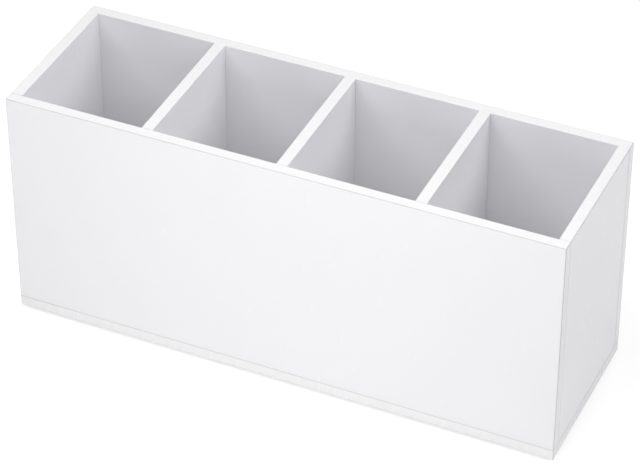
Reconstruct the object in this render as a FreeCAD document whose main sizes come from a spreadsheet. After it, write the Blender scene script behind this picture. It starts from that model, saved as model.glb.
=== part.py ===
# Pen holder: a long open box with four equal compartments in a row.
#
# Every wall is cut from flat white acrylic sheet and butt bonded to its neighbours with solvent
# cement. The base plate has the full outline. The front and back panels stand on it and run its
# whole length, the two end panels and the dividers stand between them, and all rims are level.
# Edges that stay open to the air are rounded before the box is put together, and bonded edges
# are left square, so that their joints close up to a hairline. Four clear silicone feet are
# stuck under the base plate, in from its corners.
#
# Millimetres. +X runs along the row of compartments, +Y from the front panel to the back panel,
# and +Z up. The origin lies on the desk, under the middle of the box.

import FreeCAD, Part
import os

import Sketcher

# Alias in the sheet, value, and what it is.
DRIVING_SIZES = [
    ("overall_length", 250, "outside of the box, along the row"),
    ("overall_depth", 79, "outside of the box, front to back"),
    ("box_height", 110, "underside of the base plate to the rim"),
    ("compartment_count", 4, "compartments in the row, all of one width"),
    ("base_thickness", 5, "sheet of the base plate"),
    ("wall_thickness", 5, "sheet of the front, back and end panels"),
    ("divider_thickness", 5, "sheet of the dividers"),
    ("edge_round", 0.3, "radius on the open edges of every panel"),
    ("foot_diameter", 10, "outside of a foot"),
    ("foot_height", 1.5, "desk to the underside of the base plate"),
    ("foot_inset", 12, "outside of the box to a foot's axis, both ways"),
    ("foot_round", 0.4, "radius round a foot's lower edge"),
]

# What follows from the driving sizes, as expressions on the sheet.
INSIDE_DEPTH = "(Sizes.overall_depth - 2 * Sizes.wall_thickness)"
WALL_HEIGHT = "(Sizes.box_height - Sizes.base_thickness)"
WALL_MIDDLE_Z = "(Sizes.foot_height + (Sizes.box_height + Sizes.base_thickness) / 2)"
BASE_MIDDLE_Z = "(Sizes.foot_height + Sizes.base_thickness / 2)"
LONG_PANEL_Y = "((Sizes.overall_depth - Sizes.wall_thickness) / 2)"
END_PANEL_X = "((Sizes.overall_length - Sizes.wall_thickness) / 2)"
DIVIDER_COUNT = "(Sizes.compartment_count - 1)"
INSIDE_LENGTH = "(Sizes.overall_length - 2 * Sizes.wall_thickness)"
COMPARTMENT_WIDTH = (
    f"(({INSIDE_LENGTH} - {DIVIDER_COUNT} * Sizes.divider_thickness) / Sizes.compartment_count)"
)
FOOT_X = "(Sizes.overall_length / 2 - Sizes.foot_inset)"
FOOT_Y = "(Sizes.overall_depth / 2 - Sizes.foot_inset)"

# A panel's edge is named by the way from the panel's middle to the middle of the edge.
LONG_RIM_EDGES = {(0, -1, 1), (0, 1, 1)}
CROSS_RIM_EDGES = {(-1, 0, 1), (1, 0, 1)}
UNDERSIDE_EDGES = {(0, -1, -1), (0, 1, -1), (-1, 0, -1), (1, 0, -1)}
CORNER_EDGES = {(-1, -1, 0), (1, -1, 0), (-1, 1, 0), (1, 1, 0)}

doc = FreeCAD.newDocument("pen_holder")


def make_size_sheet():
    """The driving sizes, one to a row: what it is, and the value under its alias."""
    sheet = doc.addObject("Spreadsheet::Sheet", "Sizes")
    for row, (alias, value, meaning) in enumerate(DRIVING_SIZES, start=1):
        sheet.set(f"A{row}", meaning)
        sheet.set(f"B{row}", str(value))
        sheet.setAlias(f"B{row}", alias)
    doc.recompute()
    return sheet


def make_body(label, centre):
    """A body whose own origin lies at the three expressions in centre."""
    body = doc.addObject("PartDesign::Body", label)
    body.Label = label
    for axis, expression in zip("xyz", centre):
        body.setExpression(f"Placement.Base.{axis}", expression)
    return body


def sketch_on_plane(body, role):
    """An empty sketch on one of the body's own origin planes."""
    sketch = body.newObject("Sketcher::SketchObject", f"{body.Label}_outline")
    plane = next(o for o in body.Origin.OriginFeatures if o.Role == role)
    sketch.AttachmentSupport = [(plane, "")]
    sketch.MapMode = "FlatFace"
    return sketch


def bind_length(sketch, name, expression, kind, *points):
    """Adds a driving length to the sketch and ties it to the sheet."""
    start_value = 10
    constraint = Sketcher.Constraint(kind, *points, start_value)
    sketch.renameConstraint(sketch.addConstraint(constraint), name)
    sketch.setExpression(f"Constraints.{name}", expression)


def draw_centred_rectangle(sketch, across, up):
    """A rectangle about the sketch's origin, with its two lengths tied to the sheet."""
    corners = [FreeCAD.Vector(x, y) for x, y in ((-5, -5), (5, -5), (5, 5), (-5, 5))]
    bottom, right, top, left = range(4)
    start, end = 1, 2
    origin = (-1, 1)
    sketch.addGeometry([Part.LineSegment(corners[n - 1], corners[n]) for n in (1, 2, 3, 0)], False)
    for side in (bottom, right, top, left):
        sketch.addConstraint(Sketcher.Constraint("Coincident", side, end, (side + 1) % 4, start))
    for side in (bottom, top):
        sketch.addConstraint(Sketcher.Constraint("Horizontal", side))
    for side in (right, left):
        sketch.addConstraint(Sketcher.Constraint("Vertical", side))
    sketch.addConstraint(Sketcher.Constraint("Symmetric", bottom, start, right, end, *origin))
    bind_length(sketch, "across", across, "DistanceX", bottom, start, bottom, end)
    bind_length(sketch, "up", up, "DistanceY", right, start, right, end)


def way_to(edge):
    """The signs of the way from the panel's middle to the middle of one of its straight edges."""
    return tuple((distance > 0.01) - (distance < -0.01) for distance in edge.CenterOfMass)


def make_panel(label, plane, across, up, thickness, centre, open_edges):
    """A rectangle of sheet about its own middle, lying in plane, with its open edges rounded."""
    body = make_body(label, centre)
    outline = sketch_on_plane(body, plane)
    draw_centred_rectangle(outline, across, up)

    blank = body.newObject("PartDesign::Pad", f"{label}_blank")
    blank.Profile = outline
    blank.SideType = "Symmetric"
    blank.setExpression("Length", thickness)
    doc.recompute()

    numbered_edges = enumerate(blank.Shape.Edges, start=1)
    chosen = [f"Edge{number}" for number, edge in numbered_edges if way_to(edge) in open_edges]
    rounded = body.newObject("PartDesign::Fillet", f"{label}_open_edges")
    rounded.Base = (blank, chosen)
    rounded.setExpression("Radius", "Sizes.edge_round")
    return body


def make_base_plate():
    """The full outline of the box, under every wall. Its upper edges are bonded to the walls."""
    return make_panel(
        "base_plate",
        "XY_Plane",
        "Sizes.overall_length",
        "Sizes.overall_depth",
        "Sizes.base_thickness",
        ("0", "0", BASE_MIDDLE_Z),
        UNDERSIDE_EDGES | CORNER_EDGES,
    )


def make_long_panel(label, side):
    """The front panel at side -1 or the back panel at side +1. Its ends show at the box's ends."""
    outer_corners = {(-1, side, 0), (1, side, 0)}
    return make_panel(
        label,
        "XZ_Plane",
        "Sizes.overall_length",
        WALL_HEIGHT,
        "Sizes.wall_thickness",
        ("0", f"{side} * {LONG_PANEL_Y}", WALL_MIDDLE_Z),
        LONG_RIM_EDGES | CROSS_RIM_EDGES | outer_corners,
    )


def make_cross_panel(label, thickness, middle_x):
    """A wall from the front panel to the back panel, open to the air only along its rim."""
    return make_panel(
        label,
        "YZ_Plane",
        INSIDE_DEPTH,
        WALL_HEIGHT,
        thickness,
        (middle_x, "0", WALL_MIDDLE_Z),
        CROSS_RIM_EDGES,
    )


def make_end_panel(label, side):
    """The left end at side -1 or the right end at side +1."""
    return make_cross_panel(label, "Sizes.wall_thickness", f"{side} * {END_PANEL_X}")


def make_divider(number):
    """Divider 1 is the leftmost. It has number compartments and number - 1 dividers before it."""
    compartments_before = f"{number} * {COMPARTMENT_WIDTH}"
    dividers_before = f"{number - 0.5} * Sizes.divider_thickness"
    middle_x = f"{compartments_before} + {dividers_before} - {INSIDE_LENGTH} / 2"
    return make_cross_panel(f"divider_{number}", "Sizes.divider_thickness", middle_x)


def make_foot(label, x_side, y_side):
    """A flat round foot, stuck on by its upper face and rounded where it meets the desk."""
    body = make_body(label, (f"{x_side} * {FOOT_X}", f"{y_side} * {FOOT_Y}", "0"))
    outline = sketch_on_plane(body, "XY_Plane")
    centre = 3
    origin = (-1, 1)
    circle = outline.addGeometry(Part.Circle(), False)
    outline.addConstraint(Sketcher.Constraint("Coincident", circle, centre, *origin))
    bind_length(outline, "outside", "Sizes.foot_diameter", "Diameter", circle)

    disc = body.newObject("PartDesign::Pad", f"{label}_disc")
    disc.Profile = outline
    disc.setExpression("Length", "Sizes.foot_height")
    doc.recompute()

    numbered_edges = enumerate(disc.Shape.Edges, start=1)
    lowest = min(numbered_edges, key=lambda numbered: numbered[1].CenterOfMass.z)
    rounded = body.newObject("PartDesign::Fillet", f"{label}_lower_edge")
    rounded.Base = (disc, [f"Edge{lowest[0]}"])
    rounded.setExpression("Radius", "Sizes.foot_round")
    return body


def make_feet():
    """One foot near each corner of the base plate."""
    return [
        make_foot(f"{y_name}_{x_name}_foot", x_side, y_side)
        for y_name, y_side in (("front", -1), ("back", 1))
        for x_name, x_side in (("left", -1), ("right", 1))
    ]


def check_document():
    """Stops if any object failed to recompute."""
    failed = [o.Name for o in doc.Objects if "Invalid" in o.State or "Error" in o.State]
    if failed:
        raise RuntimeError(f"these objects failed to recompute: {failed}")


def check_piece(body):
    """Stops if a piece isn't one valid solid."""
    shape = body.Shape
    if shape.isNull() or not shape.isValid() or len(shape.Solids) != 1:
        raise RuntimeError(f"{body.Label} is not one valid solid")


size_sheet = make_size_sheet()
pieces = [
    make_base_plate(),
    make_long_panel("front_panel", -1),
    make_long_panel("back_panel", 1),
    make_end_panel("left_end_panel", -1),
    make_end_panel("right_end_panel", 1),
]
pieces += [make_divider(number) for number in range(1, int(size_sheet.compartment_count))]
pieces += make_feet()

doc.recompute()
check_document()
for piece in pieces:
    check_piece(piece)

os.makedirs("parts", exist_ok=True)
for piece in pieces:
    piece.Shape.exportStep(os.path.join("parts", f"{piece.Label}.step"))
    print(f"{piece.Label}: {len(piece.Shape.Faces)} faces, {piece.Shape.Volume:.1f} mm3")
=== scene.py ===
# Pen holder of white acrylic sheet: the finish of every piece, and the studio round it.
# Metres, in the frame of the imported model: +X along the row of compartments, +Y from the front
# panel to the back panel, +Z up from the desk.

import math

import bmesh
import bpy
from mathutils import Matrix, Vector


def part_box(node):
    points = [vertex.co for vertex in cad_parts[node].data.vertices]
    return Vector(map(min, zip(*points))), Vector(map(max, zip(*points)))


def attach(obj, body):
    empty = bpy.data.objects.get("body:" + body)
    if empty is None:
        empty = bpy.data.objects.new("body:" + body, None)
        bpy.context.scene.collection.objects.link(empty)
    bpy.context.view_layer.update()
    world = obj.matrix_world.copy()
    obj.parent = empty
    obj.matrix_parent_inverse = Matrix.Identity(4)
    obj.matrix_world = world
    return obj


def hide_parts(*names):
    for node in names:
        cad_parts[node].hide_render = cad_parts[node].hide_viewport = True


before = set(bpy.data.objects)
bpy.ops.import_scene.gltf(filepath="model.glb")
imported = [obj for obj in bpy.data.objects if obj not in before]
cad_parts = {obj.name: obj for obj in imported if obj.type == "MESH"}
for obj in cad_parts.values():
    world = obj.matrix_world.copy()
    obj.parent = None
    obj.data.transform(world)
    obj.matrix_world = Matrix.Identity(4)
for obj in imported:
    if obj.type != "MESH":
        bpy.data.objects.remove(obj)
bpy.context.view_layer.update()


# The base plate
# One rectangle of 5 mm white cast acrylic, sawn to the full outline of the box. The sheet's own
# faces are glossy, and its four sawn edges are scraped and buffed. The walls are bonded onto it
# with solvent cement, and what lies between them is the floor of the compartments.

OPEN_ROUND = 0.0003
ROUND_SEGMENTS = 4
BOND_LIP = 0.00015
RIM_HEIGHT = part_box("front_panel")[1].z
ACRYLIC_IOR = 1.49

UNDERSIDE_EDGES = {(0, -1, -1), (0, 1, -1), (-1, 0, -1), (1, 0, -1)}
CORNER_EDGES = {(-1, -1, 0), (1, -1, 0), (-1, 1, 0), (1, 1, 0)}
SHEET_FACE, SAWN_EDGE, SCRAPED_CORNER, BOND_LINE = range(4)


class Wire:
    """An output of a node. Arithmetic on it adds the nodes that work it out."""

    def __init__(self, nodes, socket):
        self.nodes = nodes
        self.socket = socket

    def maths(self, operation, first, second):
        return self.nodes.add("ShaderNodeMath", {"operation": operation}, {0: first, 1: second})

    def __add__(self, other):
        return self.maths("ADD", self, other)

    def __sub__(self, other):
        return self.maths("SUBTRACT", self, other)

    def __rsub__(self, other):
        return self.maths("SUBTRACT", other, self)

    def __mul__(self, other):
        return self.maths("MULTIPLY", self, other)

    __radd__ = __add__
    __rmul__ = __mul__


class Nodes:
    """A tree of nodes that grows as values are worked out."""

    def __init__(self, tree):
        self.tree = tree

    def add(self, kind, settings, values, output=0):
        """Adds a node: its settings first, then the values or wires of its inputs."""
        node = self.tree.nodes.new(kind)
        for name, setting in settings.items():
            setattr(node, name, setting)
        for name, value in values.items():
            self.plug(node.inputs[name], value)
        return Wire(self, node.outputs[output])

    def plug(self, socket, value):
        if isinstance(value, Wire):
            self.tree.links.new(value.socket, socket)
        else:
            socket.default_value = value

    def noise(self, vector, scale, detail=2.0):
        values = {"Vector": vector, "Scale": scale, "Detail": detail}
        return self.add("ShaderNodeTexNoise", {}, values)

    def only_above(self, wire, low, high):
        """Nothing below low, all of it above high, and a smooth step between them."""
        values = {"Value": wire, "From Min": low, "From Max": high}
        return self.add("ShaderNodeMapRange", {"interpolation_type": "SMOOTHSTEP"}, values)

    def blend(self, share, first, second):
        """The first colour where share is 0, the second where it is 1. The colours go into the
        node's inputs 6 and 7 and come out of its output 2."""
        values = {0: share, 6: (*first, 1), 7: (*second, 1)}
        return self.add("ShaderNodeMix", {"data_type": "RGBA"}, values, 2)


class Finish(Nodes):
    """A material, read from the coordinates of the piece that wears it."""

    def __init__(self, name):
        self.material = bpy.data.materials.new(name)
        self.material.use_nodes = True
        super().__init__(self.material.node_tree)
        self.surface = self.tree.nodes["Principled BSDF"]
        self.place = self.add("ShaderNodeTexCoord", {}, {}, "Object")

    def set(self, **values):
        """Sets the surface's own inputs, named with _ for a space."""
        for name, value in values.items():
            self.plug(self.surface.inputs[name.replace("_", " ")], value)

    def drawn_out(self, x, y, z, turn=(0, 0, 0)):
        """Coordinates, turned, in which a pattern is x, y and z times as long along each axis."""
        values = {"Vector": self.place, "Rotation": turn, "Scale": (x, y, z)}
        return self.add("ShaderNodeMapping", {"vector_type": "TEXTURE"}, values)

    def bump(self, height, distance):
        """Relief of that height in metres, where height runs from 0 to 1."""
        return self.add("ShaderNodeBump", {}, {"Height": height, "Distance": distance})


def glossy_sheet_finish():
    """The face of cast acrylic sheet: white, glossy, with faint waves, smears from handling and a
    few hair-fine scuffs, nearly upright."""
    finish = Finish("white cast acrylic")
    cloud = finish.noise(finish.place, scale=14)
    smears = finish.noise(finish.drawn_out(1, 1, 2.5), scale=60)
    scuffed = finish.noise(finish.drawn_out(1, 1, 50, turn=(0.04, 0.06, 0)), scale=1800)
    scuffs = finish.only_above(scuffed, low=0.65, high=0.77)
    waves = finish.noise(finish.place, scale=22, detail=0)
    finish.set(
        Base_Color=finish.blend(cloud, (0.895, 0.891, 0.911), (0.915, 0.911, 0.931)),
        Roughness=0.14 + 0.1 * smears + 0.1 * scuffs,
        Normal=finish.bump(waves, distance=0.00006),
        IOR=ACRYLIC_IOR,
    )
    return finish.material


def sawn_edge_finish(thickness_axis):
    """A sawn, scraped and buffed edge. The saw's marks run across the sheet's thickness. The rims
    are a shade greyer: painted shade, which keeps the top edges from looking too brightly lit."""
    finish = Finish(f"sawn acrylic edge, sheet across {thickness_axis}")
    across = {"X": (50, 1, 1), "Y": (1, 50, 1), "Z": (1, 1, 50)}[thickness_axis]
    marks = finish.noise(finish.drawn_out(*across), scale=2600, detail=3)
    chatter = finish.noise(finish.drawn_out(*across), scale=240)
    height = finish.add("ShaderNodeSeparateXYZ", {}, {"Vector": finish.place}, "Z")
    # Painted shade: the top of the rims is a shade greyer than the rest of the edge. The saw
    # chatter varies the tone at random.
    painted_rim_shade = finish.only_above(height, low=RIM_HEIGHT - OPEN_ROUND, high=RIM_HEIGHT)
    chatter_and_unshaded = 0.4 * chatter + 0.6 * (1 - painted_rim_shade)
    finish.set(
        Base_Color=finish.blend(chatter_and_unshaded, (0.875, 0.875, 0.88), (0.917, 0.917, 0.922)),
        Roughness=0.21 + 0.1 * marks,
        Normal=finish.bump(0.6 * marks + 0.4 * chatter, distance=0.000004),
        IOR=ACRYLIC_IOR,
    )
    return finish.material


def scraped_corner_finish():
    """A corner of the sheet taken off with a scraper: dull, and painted grey, a painted shade that
    draws a dark outline along the outer edges.
    """
    finish = Finish("scraped acrylic corner")
    strokes = finish.noise(finish.place, scale=900, detail=3)
    finish.set(
        # Painted shade: a grey well below the sheet's white, so that the outer edges show as dark
        # lines.
        Base_Color=finish.blend(strokes, (0.6, 0.6, 0.605), (0.7, 0.7, 0.705)),
        Roughness=0.5 + 0.2 * strokes,
        Specular_IOR_Level=0.1,
    )
    return finish.material


def bond_line_finish():
    """The lip of a bonded joint, where the cement has run out and set with a little dust. Its grey
    is partly that dust and partly painted shade, the shadow of the joint's groove.
    """
    finish = Finish("solvent cement line")
    runs = finish.noise(finish.place, scale=350)
    finish.set(
        # Partly painted shade: the grey stands for dust in the joint and for the shadow in its
        # groove.
        Base_Color=finish.blend(runs, (0.5, 0.5, 0.505), (0.66, 0.66, 0.665)),
        Roughness=0.25 + 0.2 * runs,
        IOR=ACRYLIC_IOR,
    )
    return finish.material


def baked(piece):
    """The piece with its modifiers worked into a plain mesh."""
    evaluated = piece.evaluated_get(bpy.context.evaluated_depsgraph_get())
    piece.data = bpy.data.meshes.new_from_object(evaluated)
    piece.modifiers.clear()
    return piece


def sawn_sheet(name, node, thickness_axis, open_edges, outer_edges, lips):
    """A panel the size of its CAD node. An edge is named by the way to it from the middle. The
    open edges are rounded, and of those the outer ones are scraped dull and painted grey, a
    painted shade that outlines the piece. The lip of any other edge is BOND_LIP wide, unless lips
    gives it another width."""
    low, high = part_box(node)
    middle, half = (low + high) / 2, (high - low) / 2
    sheet = bmesh.new()
    bmesh.ops.create_cube(sheet, size=2)
    ease = sheet.edges.layers.float.new("bevel_weight_edge")
    for edge in sheet.edges:
        way = tuple(round(d) for d in (edge.verts[0].co + edge.verts[1].co) / 2)
        edge[ease] = 1 if way in open_edges else lips.get(way, BOND_LIP) / OPEN_ROUND
    for face in sheet.faces:
        face.smooth = True
    for corner in sheet.verts:
        corner.co = middle + corner.co * half
    mesh = bpy.data.meshes.new(name)
    sheet.to_mesh(mesh)
    sheet.free()
    piece = bpy.data.objects.new(name, mesh)
    bpy.context.scene.collection.objects.link(piece)
    rounding = piece.modifiers.new("rounding", "BEVEL")
    rounding.width = OPEN_ROUND
    rounding.segments = ROUND_SEGMENTS
    rounding.limit_method = "WEIGHT"
    rounding.harden_normals = True
    baked(piece)
    for material in (glossy_sheet, sawn_edge[thickness_axis], scraped_corner, bond_line):
        piece.data.materials.append(material)
    across = "XYZ".index(thickness_axis)
    for face in piece.data.polygons:
        reach = [abs(d) - h for d, h in zip(face.center - middle, half)]
        way = tuple(
            int(math.copysign(r > -OPEN_ROUND, d)) for r, d in zip(reach, face.center - middle)
        )
        if way.count(0) == 2:
            face.material_index = SHEET_FACE if way[across] else SAWN_EDGE
        elif way in outer_edges:
            face.material_index = SCRAPED_CORNER
        else:
            face.material_index = SAWN_EDGE if way in open_edges else BOND_LINE
    return piece


def fix_in_place(piece, slot, *nodes):
    """The box is one rigid body, so every piece rides on its root."""
    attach(piece, "root")
    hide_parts(*nodes)


glossy_sheet = glossy_sheet_finish()
sawn_edge = {axis: sawn_edge_finish(axis) for axis in "XYZ"}
scraped_corner = scraped_corner_finish()
bond_line = bond_line_finish()

base_edges = UNDERSIDE_EDGES | CORNER_EDGES
base = sawn_sheet("base_sheet", "base_plate", "Z", base_edges, base_edges, {})
fix_in_place(base, "white_acrylic", "base_plate")


# The front and back panels
# Two rectangles of the same sheet, as long as the base, bonded onto its front and back margins.
# Their rims and both their ends stay open to the air, so those edges are rounded.

LONG_RIM_EDGES = {(0, -1, 1), (0, 1, 1)}
CROSS_RIM_EDGES = {(-1, 0, 1), (1, 0, 1)}

for side_name, side in (("front", -1), ("back", 1)):
    node, sheet_name = f"{side_name}_panel", f"{side_name}_sheet"
    outer_edges = CROSS_RIM_EDGES | {(0, side, 1), (-1, side, 0), (1, side, 0)}
    open_edges = outer_edges | LONG_RIM_EDGES
    panel = sawn_sheet(sheet_name, node, "Y", open_edges, outer_edges, {})
    fix_in_place(panel, "white_acrylic", node)


# The end panels
# Two short rectangles of sheet, bonded between the front and back panels at the ends of the box.
# Only their rims' long edges are rounded. The joints are scraped flush where rims meet, and show
# most along the base and up the back corners.

FLUSH_LIP = 0.00006
WIDE_LIP = 0.00026
FLUSH_RIM_LIPS = dict.fromkeys(LONG_RIM_EDGES, FLUSH_LIP)

for side_name, side in (("left", -1), ("right", 1)):
    node, sheet_name = f"{side_name}_end_panel", f"{side_name}_end_sheet"
    outer_edges = {(side, 0, 1)}
    lips = {**FLUSH_RIM_LIPS, (side, 0, -1): WIDE_LIP, (side, 1, 0): WIDE_LIP}
    panel = sawn_sheet(sheet_name, node, "X", CROSS_RIM_EDGES, outer_edges, lips)
    fix_in_place(panel, "white_acrylic", node)


# The dividers
# Three more cross walls of the same sheet, bonded between the front and back panels at one
# pitch, so that the four compartments are equally wide. One is cut, and the row repeats it.

DIVIDERS = ["divider_1", "divider_2", "divider_3"]


def rows_tree(materials):
    """Copies of the piece it is given, at an even pitch along X and along Y. Each face keeps the
    material of its slot, by way of one named input for each slot. The comparison takes its whole
    numbers at inputs 2 and 3."""
    tree = bpy.data.node_groups.new("rows of a piece", "GeometryNodeTree")
    wanted = [("Piece", "Geometry"), ("Pitch X", "Float"), ("Pitch Y", "Float")]
    wanted += [("Count X", "Int"), ("Count Y", "Int")]
    wanted += [(f"Material {slot}", "Material") for slot in range(len(materials))]
    for name, kind in wanted:
        tree.interface.new_socket(name, in_out="INPUT", socket_type=f"NodeSocket{kind}")
    tree.interface.new_socket("Rows", in_out="OUTPUT", socket_type="NodeSocketGeometry")
    nodes = Nodes(tree)
    given = tree.nodes.new("NodeGroupInput")
    inputs = {name: Wire(nodes, given.outputs[name]) for name, kind in wanted}
    lines = []
    for axis in "XY":
        step = nodes.add("ShaderNodeCombineXYZ", {}, {axis: inputs[f"Pitch {axis}"]})
        values = {"Count": inputs[f"Count {axis}"], "Offset": step}
        lines.append(nodes.add("GeometryNodeMeshLine", {}, values))
    along, across = lines
    grid = nodes.add("GeometryNodeInstanceOnPoints", {}, {"Points": along, "Instance": across})
    places = nodes.add("GeometryNodeRealizeInstances", {}, {"Geometry": grid})
    values = {"Points": places, "Instance": inputs["Piece"]}
    copies = nodes.add("GeometryNodeInstanceOnPoints", {}, values)
    rows = nodes.add("GeometryNodeRealizeInstances", {}, {"Geometry": copies})
    own_slot = nodes.add("GeometryNodeInputMaterialIndex", {}, {})
    for slot in range(len(materials)):
        same = {"data_type": "INT", "operation": "EQUAL"}
        chosen = nodes.add("FunctionNodeCompare", same, {2: own_slot, 3: slot})
        values = {"Geometry": rows, "Selection": chosen, "Material": inputs[f"Material {slot}"]}
        rows = nodes.add("GeometryNodeSetMaterial", {}, values)
    made = tree.nodes.new("NodeGroupOutput")
    tree.links.new(rows.socket, made.inputs["Rows"])
    return tree


def set_out_in_rows(piece, counts, pitches):
    """Repeats the piece, which stands first in its rows, along X and Y."""
    rows = piece.modifiers.new("rows", "NODES")
    materials = list(piece.data.materials)
    rows.node_group = rows_tree(materials)
    socket = {item.name: item.identifier for item in rows.node_group.interface.items_tree}
    for axis, count, pitch in zip("XY", counts, pitches):
        rows[socket[f"Count {axis}"]] = count
        rows[socket[f"Pitch {axis}"]] = pitch
    for slot, material in enumerate(materials):
        rows[socket[f"Material {slot}"]] = material
    return baked(piece)


def pitch_between(node, next_node):
    """How far it is from one CAD node to the next one like it."""
    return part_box(next_node)[0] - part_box(node)[0]


dividers = sawn_sheet("divider_sheets", DIVIDERS[0], "X", CROSS_RIM_EDGES, set(), FLUSH_RIM_LIPS)
divider_pitch = pitch_between(*DIVIDERS[:2]).x
set_out_in_rows(dividers, (len(DIVIDERS), 1), (divider_pitch, 0))
fix_in_place(dividers, "white_acrylic", *DIVIDERS)


# The feet
# Four flat round feet of clear silicone, stuck under the base near its corners. Each one is cast
# in a mould, so its lower edge is rounded and its skin is satin.

FEET = [f"{y_name}_{x_name}_foot" for y_name in ("front", "back") for x_name in ("left", "right")]
FOOT_ROUND = 0.0004
FOOT_SIDES = 48
ROUND_STEPS = 5
SAME_POINT = 0.000001


def silicone_finish():
    """Clear, with the slight haze of a satin skin."""
    finish = Finish("clear silicone")
    haze = finish.noise(finish.place, scale=900)
    finish.set(
        Base_Color=finish.blend(haze, (0.86, 0.87, 0.87), (0.93, 0.94, 0.94)),
        Roughness=0.25 + 0.15 * haze,
        Normal=finish.bump(haze, distance=0.00001),
        Transmission_Weight=0.8,
        IOR=1.41,
    )
    return finish.material


def moulded_foot(mesh, node):
    """Turns the foot's outline round its axis: flat top, straight side, rounded lower edge."""
    low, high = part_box(node)
    radius = (high.x - low.x) / 2
    middle = (low + high) / 2
    turns = [math.radians(90 * step / ROUND_STEPS) for step in range(ROUND_STEPS + 1)]
    outline = [(0, low.z)]
    outline += [
        (radius - FOOT_ROUND + FOOT_ROUND * math.sin(t), low.z + FOOT_ROUND * (1 - math.cos(t)))
        for t in turns
    ]
    outline += [(radius, high.z), (0, high.z)]
    points = [mesh.verts.new((middle.x + r, middle.y, z)) for r, z in outline]
    edges = [mesh.edges.new(pair) for pair in zip(points, points[1:])]
    bmesh.ops.spin(
        mesh,
        geom=points + edges,
        cent=middle,
        axis=(0, 0, 1),
        angle=math.tau,
        steps=FOOT_SIDES,
    )


foot_mesh = bmesh.new()
moulded_foot(foot_mesh, FEET[0])
bmesh.ops.remove_doubles(foot_mesh, verts=foot_mesh.verts, dist=SAME_POINT)
bmesh.ops.recalc_face_normals(foot_mesh, faces=foot_mesh.faces)
feet = bpy.data.objects.new("silicone_feet", bpy.data.meshes.new("silicone_feet"))
foot_mesh.to_mesh(feet.data)
foot_mesh.free()
feet.data.materials.append(silicone_finish())
bpy.context.scene.collection.objects.link(feet)
feet_pitch = pitch_between(FEET[0], FEET[-1])
set_out_in_rows(feet, (2, 2), (feet_pitch.x, feet_pitch.y))
fix_in_place(feet, "clear_silicone", *FEET)


# The studio
# A white table that runs on out of sight, a white surround, soft lamps and the camera of the
# photograph's view. None of it is part of the object.

TABLE_SIDE = 8
VIEW_AZIMUTH = 24.32
VIEW_ELEVATION = 37.36
VIEW_DISTANCE = 1.2507
VIEW_AIM = Vector((0.0015, 0, 0.0535))
VIEW_LENS = 165.2
VIEW_END = 20


def seen_directly(nodes):
    """1 for rays from the camera, and for those that a gloss or a clear piece sends on, else 0."""
    ray = nodes.tree.nodes.new("ShaderNodeLightPath")
    camera, glossy, clear = (
        Wire(nodes, ray.outputs[f"Is {kind} Ray"]) for kind in ("Camera", "Glossy", "Transmission")
    )
    return nodes.only_above(camera + glossy + clear, low=0, high=1)


def towards(azimuth, elevation):
    """The way from the object to something at that azimuth from the front and that elevation."""
    a, e = math.radians(azimuth), math.radians(elevation)
    return Vector((math.sin(a) * math.cos(e), -math.cos(a) * math.cos(e), math.sin(e)))


def add_lamp(name, azimuth, elevation, distance, side, watts, colour=(1, 1, 1)):
    """A square soft lamp that faces the object."""
    lamp = bpy.data.lights.new(name, "AREA")
    lamp.size = side
    lamp.energy = watts
    lamp.color = colour
    holder = bpy.data.objects.new(name, lamp)
    way = towards(azimuth, elevation)
    holder.location = VIEW_AIM + way * distance
    holder.rotation_euler = way.to_track_quat("Z", "Y").to_euler()
    bpy.context.scene.collection.objects.link(holder)


def white_table_finish():
    """Plain white for the light that bounces off it. Seen directly it glows, nearly white round
    the object, so that the shadow shows, and wholly white further out."""
    finish = Finish("white table")
    seen = seen_directly(finish)
    reach = finish.add("ShaderNodeVectorMath", {"operation": "LENGTH"}, {0: finish.place}, "Value")
    far = finish.only_above(reach, low=0.25, high=0.9)
    finish.set(
        Base_Color=0.8 - seen * (0.4 + 0.4 * far),
        Emission_Color=seen * (0.7 + 0.33 * far),
        Emission_Strength=1,
        Roughness=1,
        Specular_IOR_Level=0,
    )
    finish.material.cycles.emission_sampling = "NONE"
    return finish.material


bpy.ops.mesh.primitive_plane_add(size=TABLE_SIDE)
table = bpy.context.object
table.name = "table"
table.data.materials.append(white_table_finish())

FILL = 0.05
world = bpy.data.worlds.new("white surround")
bpy.context.scene.world = world
world.use_nodes = True
surround = Nodes(world.node_tree)
background = world.node_tree.nodes["Background"]
surround.plug(background.inputs["Color"], (1, 1, 1, 1))
surround.plug(background.inputs["Strength"], FILL + (1 - FILL) * seen_directly(surround))

FAR, FAR_SIDE = 1.6, 0.8
NEAR, NEAR_SIDE, SMALL_SIDE = 0.45, 0.3, 0.2
COOL = (1, 0.995, 1.03)

add_lamp("left lamp", -60, 55, FAR, FAR_SIDE, watts=8)
add_lamp("right lamp", 90, 35, FAR, FAR_SIDE, watts=6, colour=COOL)
add_lamp("back right lamp", 120, 35, FAR, FAR_SIDE, watts=4.2, colour=COOL)
add_lamp("back lamp", 180, 15, FAR, FAR_SIDE, watts=6.6)
add_lamp("back left lamp", -120, 15, FAR, FAR_SIDE, watts=7)
add_lamp("near left lamp", -30, 70, NEAR, NEAR_SIDE, watts=0.4)
add_lamp("near right lamp", 30, 55, NEAR, NEAR_SIDE, watts=0.53)
add_lamp("near front lamp", 0, 7, NEAR, SMALL_SIDE, watts=0.57)

camera = bpy.data.objects.new("camera", bpy.data.cameras.new("camera"))
camera.data.lens = VIEW_LENS
camera.data.clip_end = VIEW_END
back = towards(VIEW_AZIMUTH, VIEW_ELEVATION)
camera.location = VIEW_AIM + back * VIEW_DISTANCE
camera.rotation_euler = back.to_track_quat("Z", "Y").to_euler()
bpy.context.scene.collection.objects.link(camera)
bpy.context.scene.camera = camera
bpy.context.scene.view_settings.view_transform = "Standard"
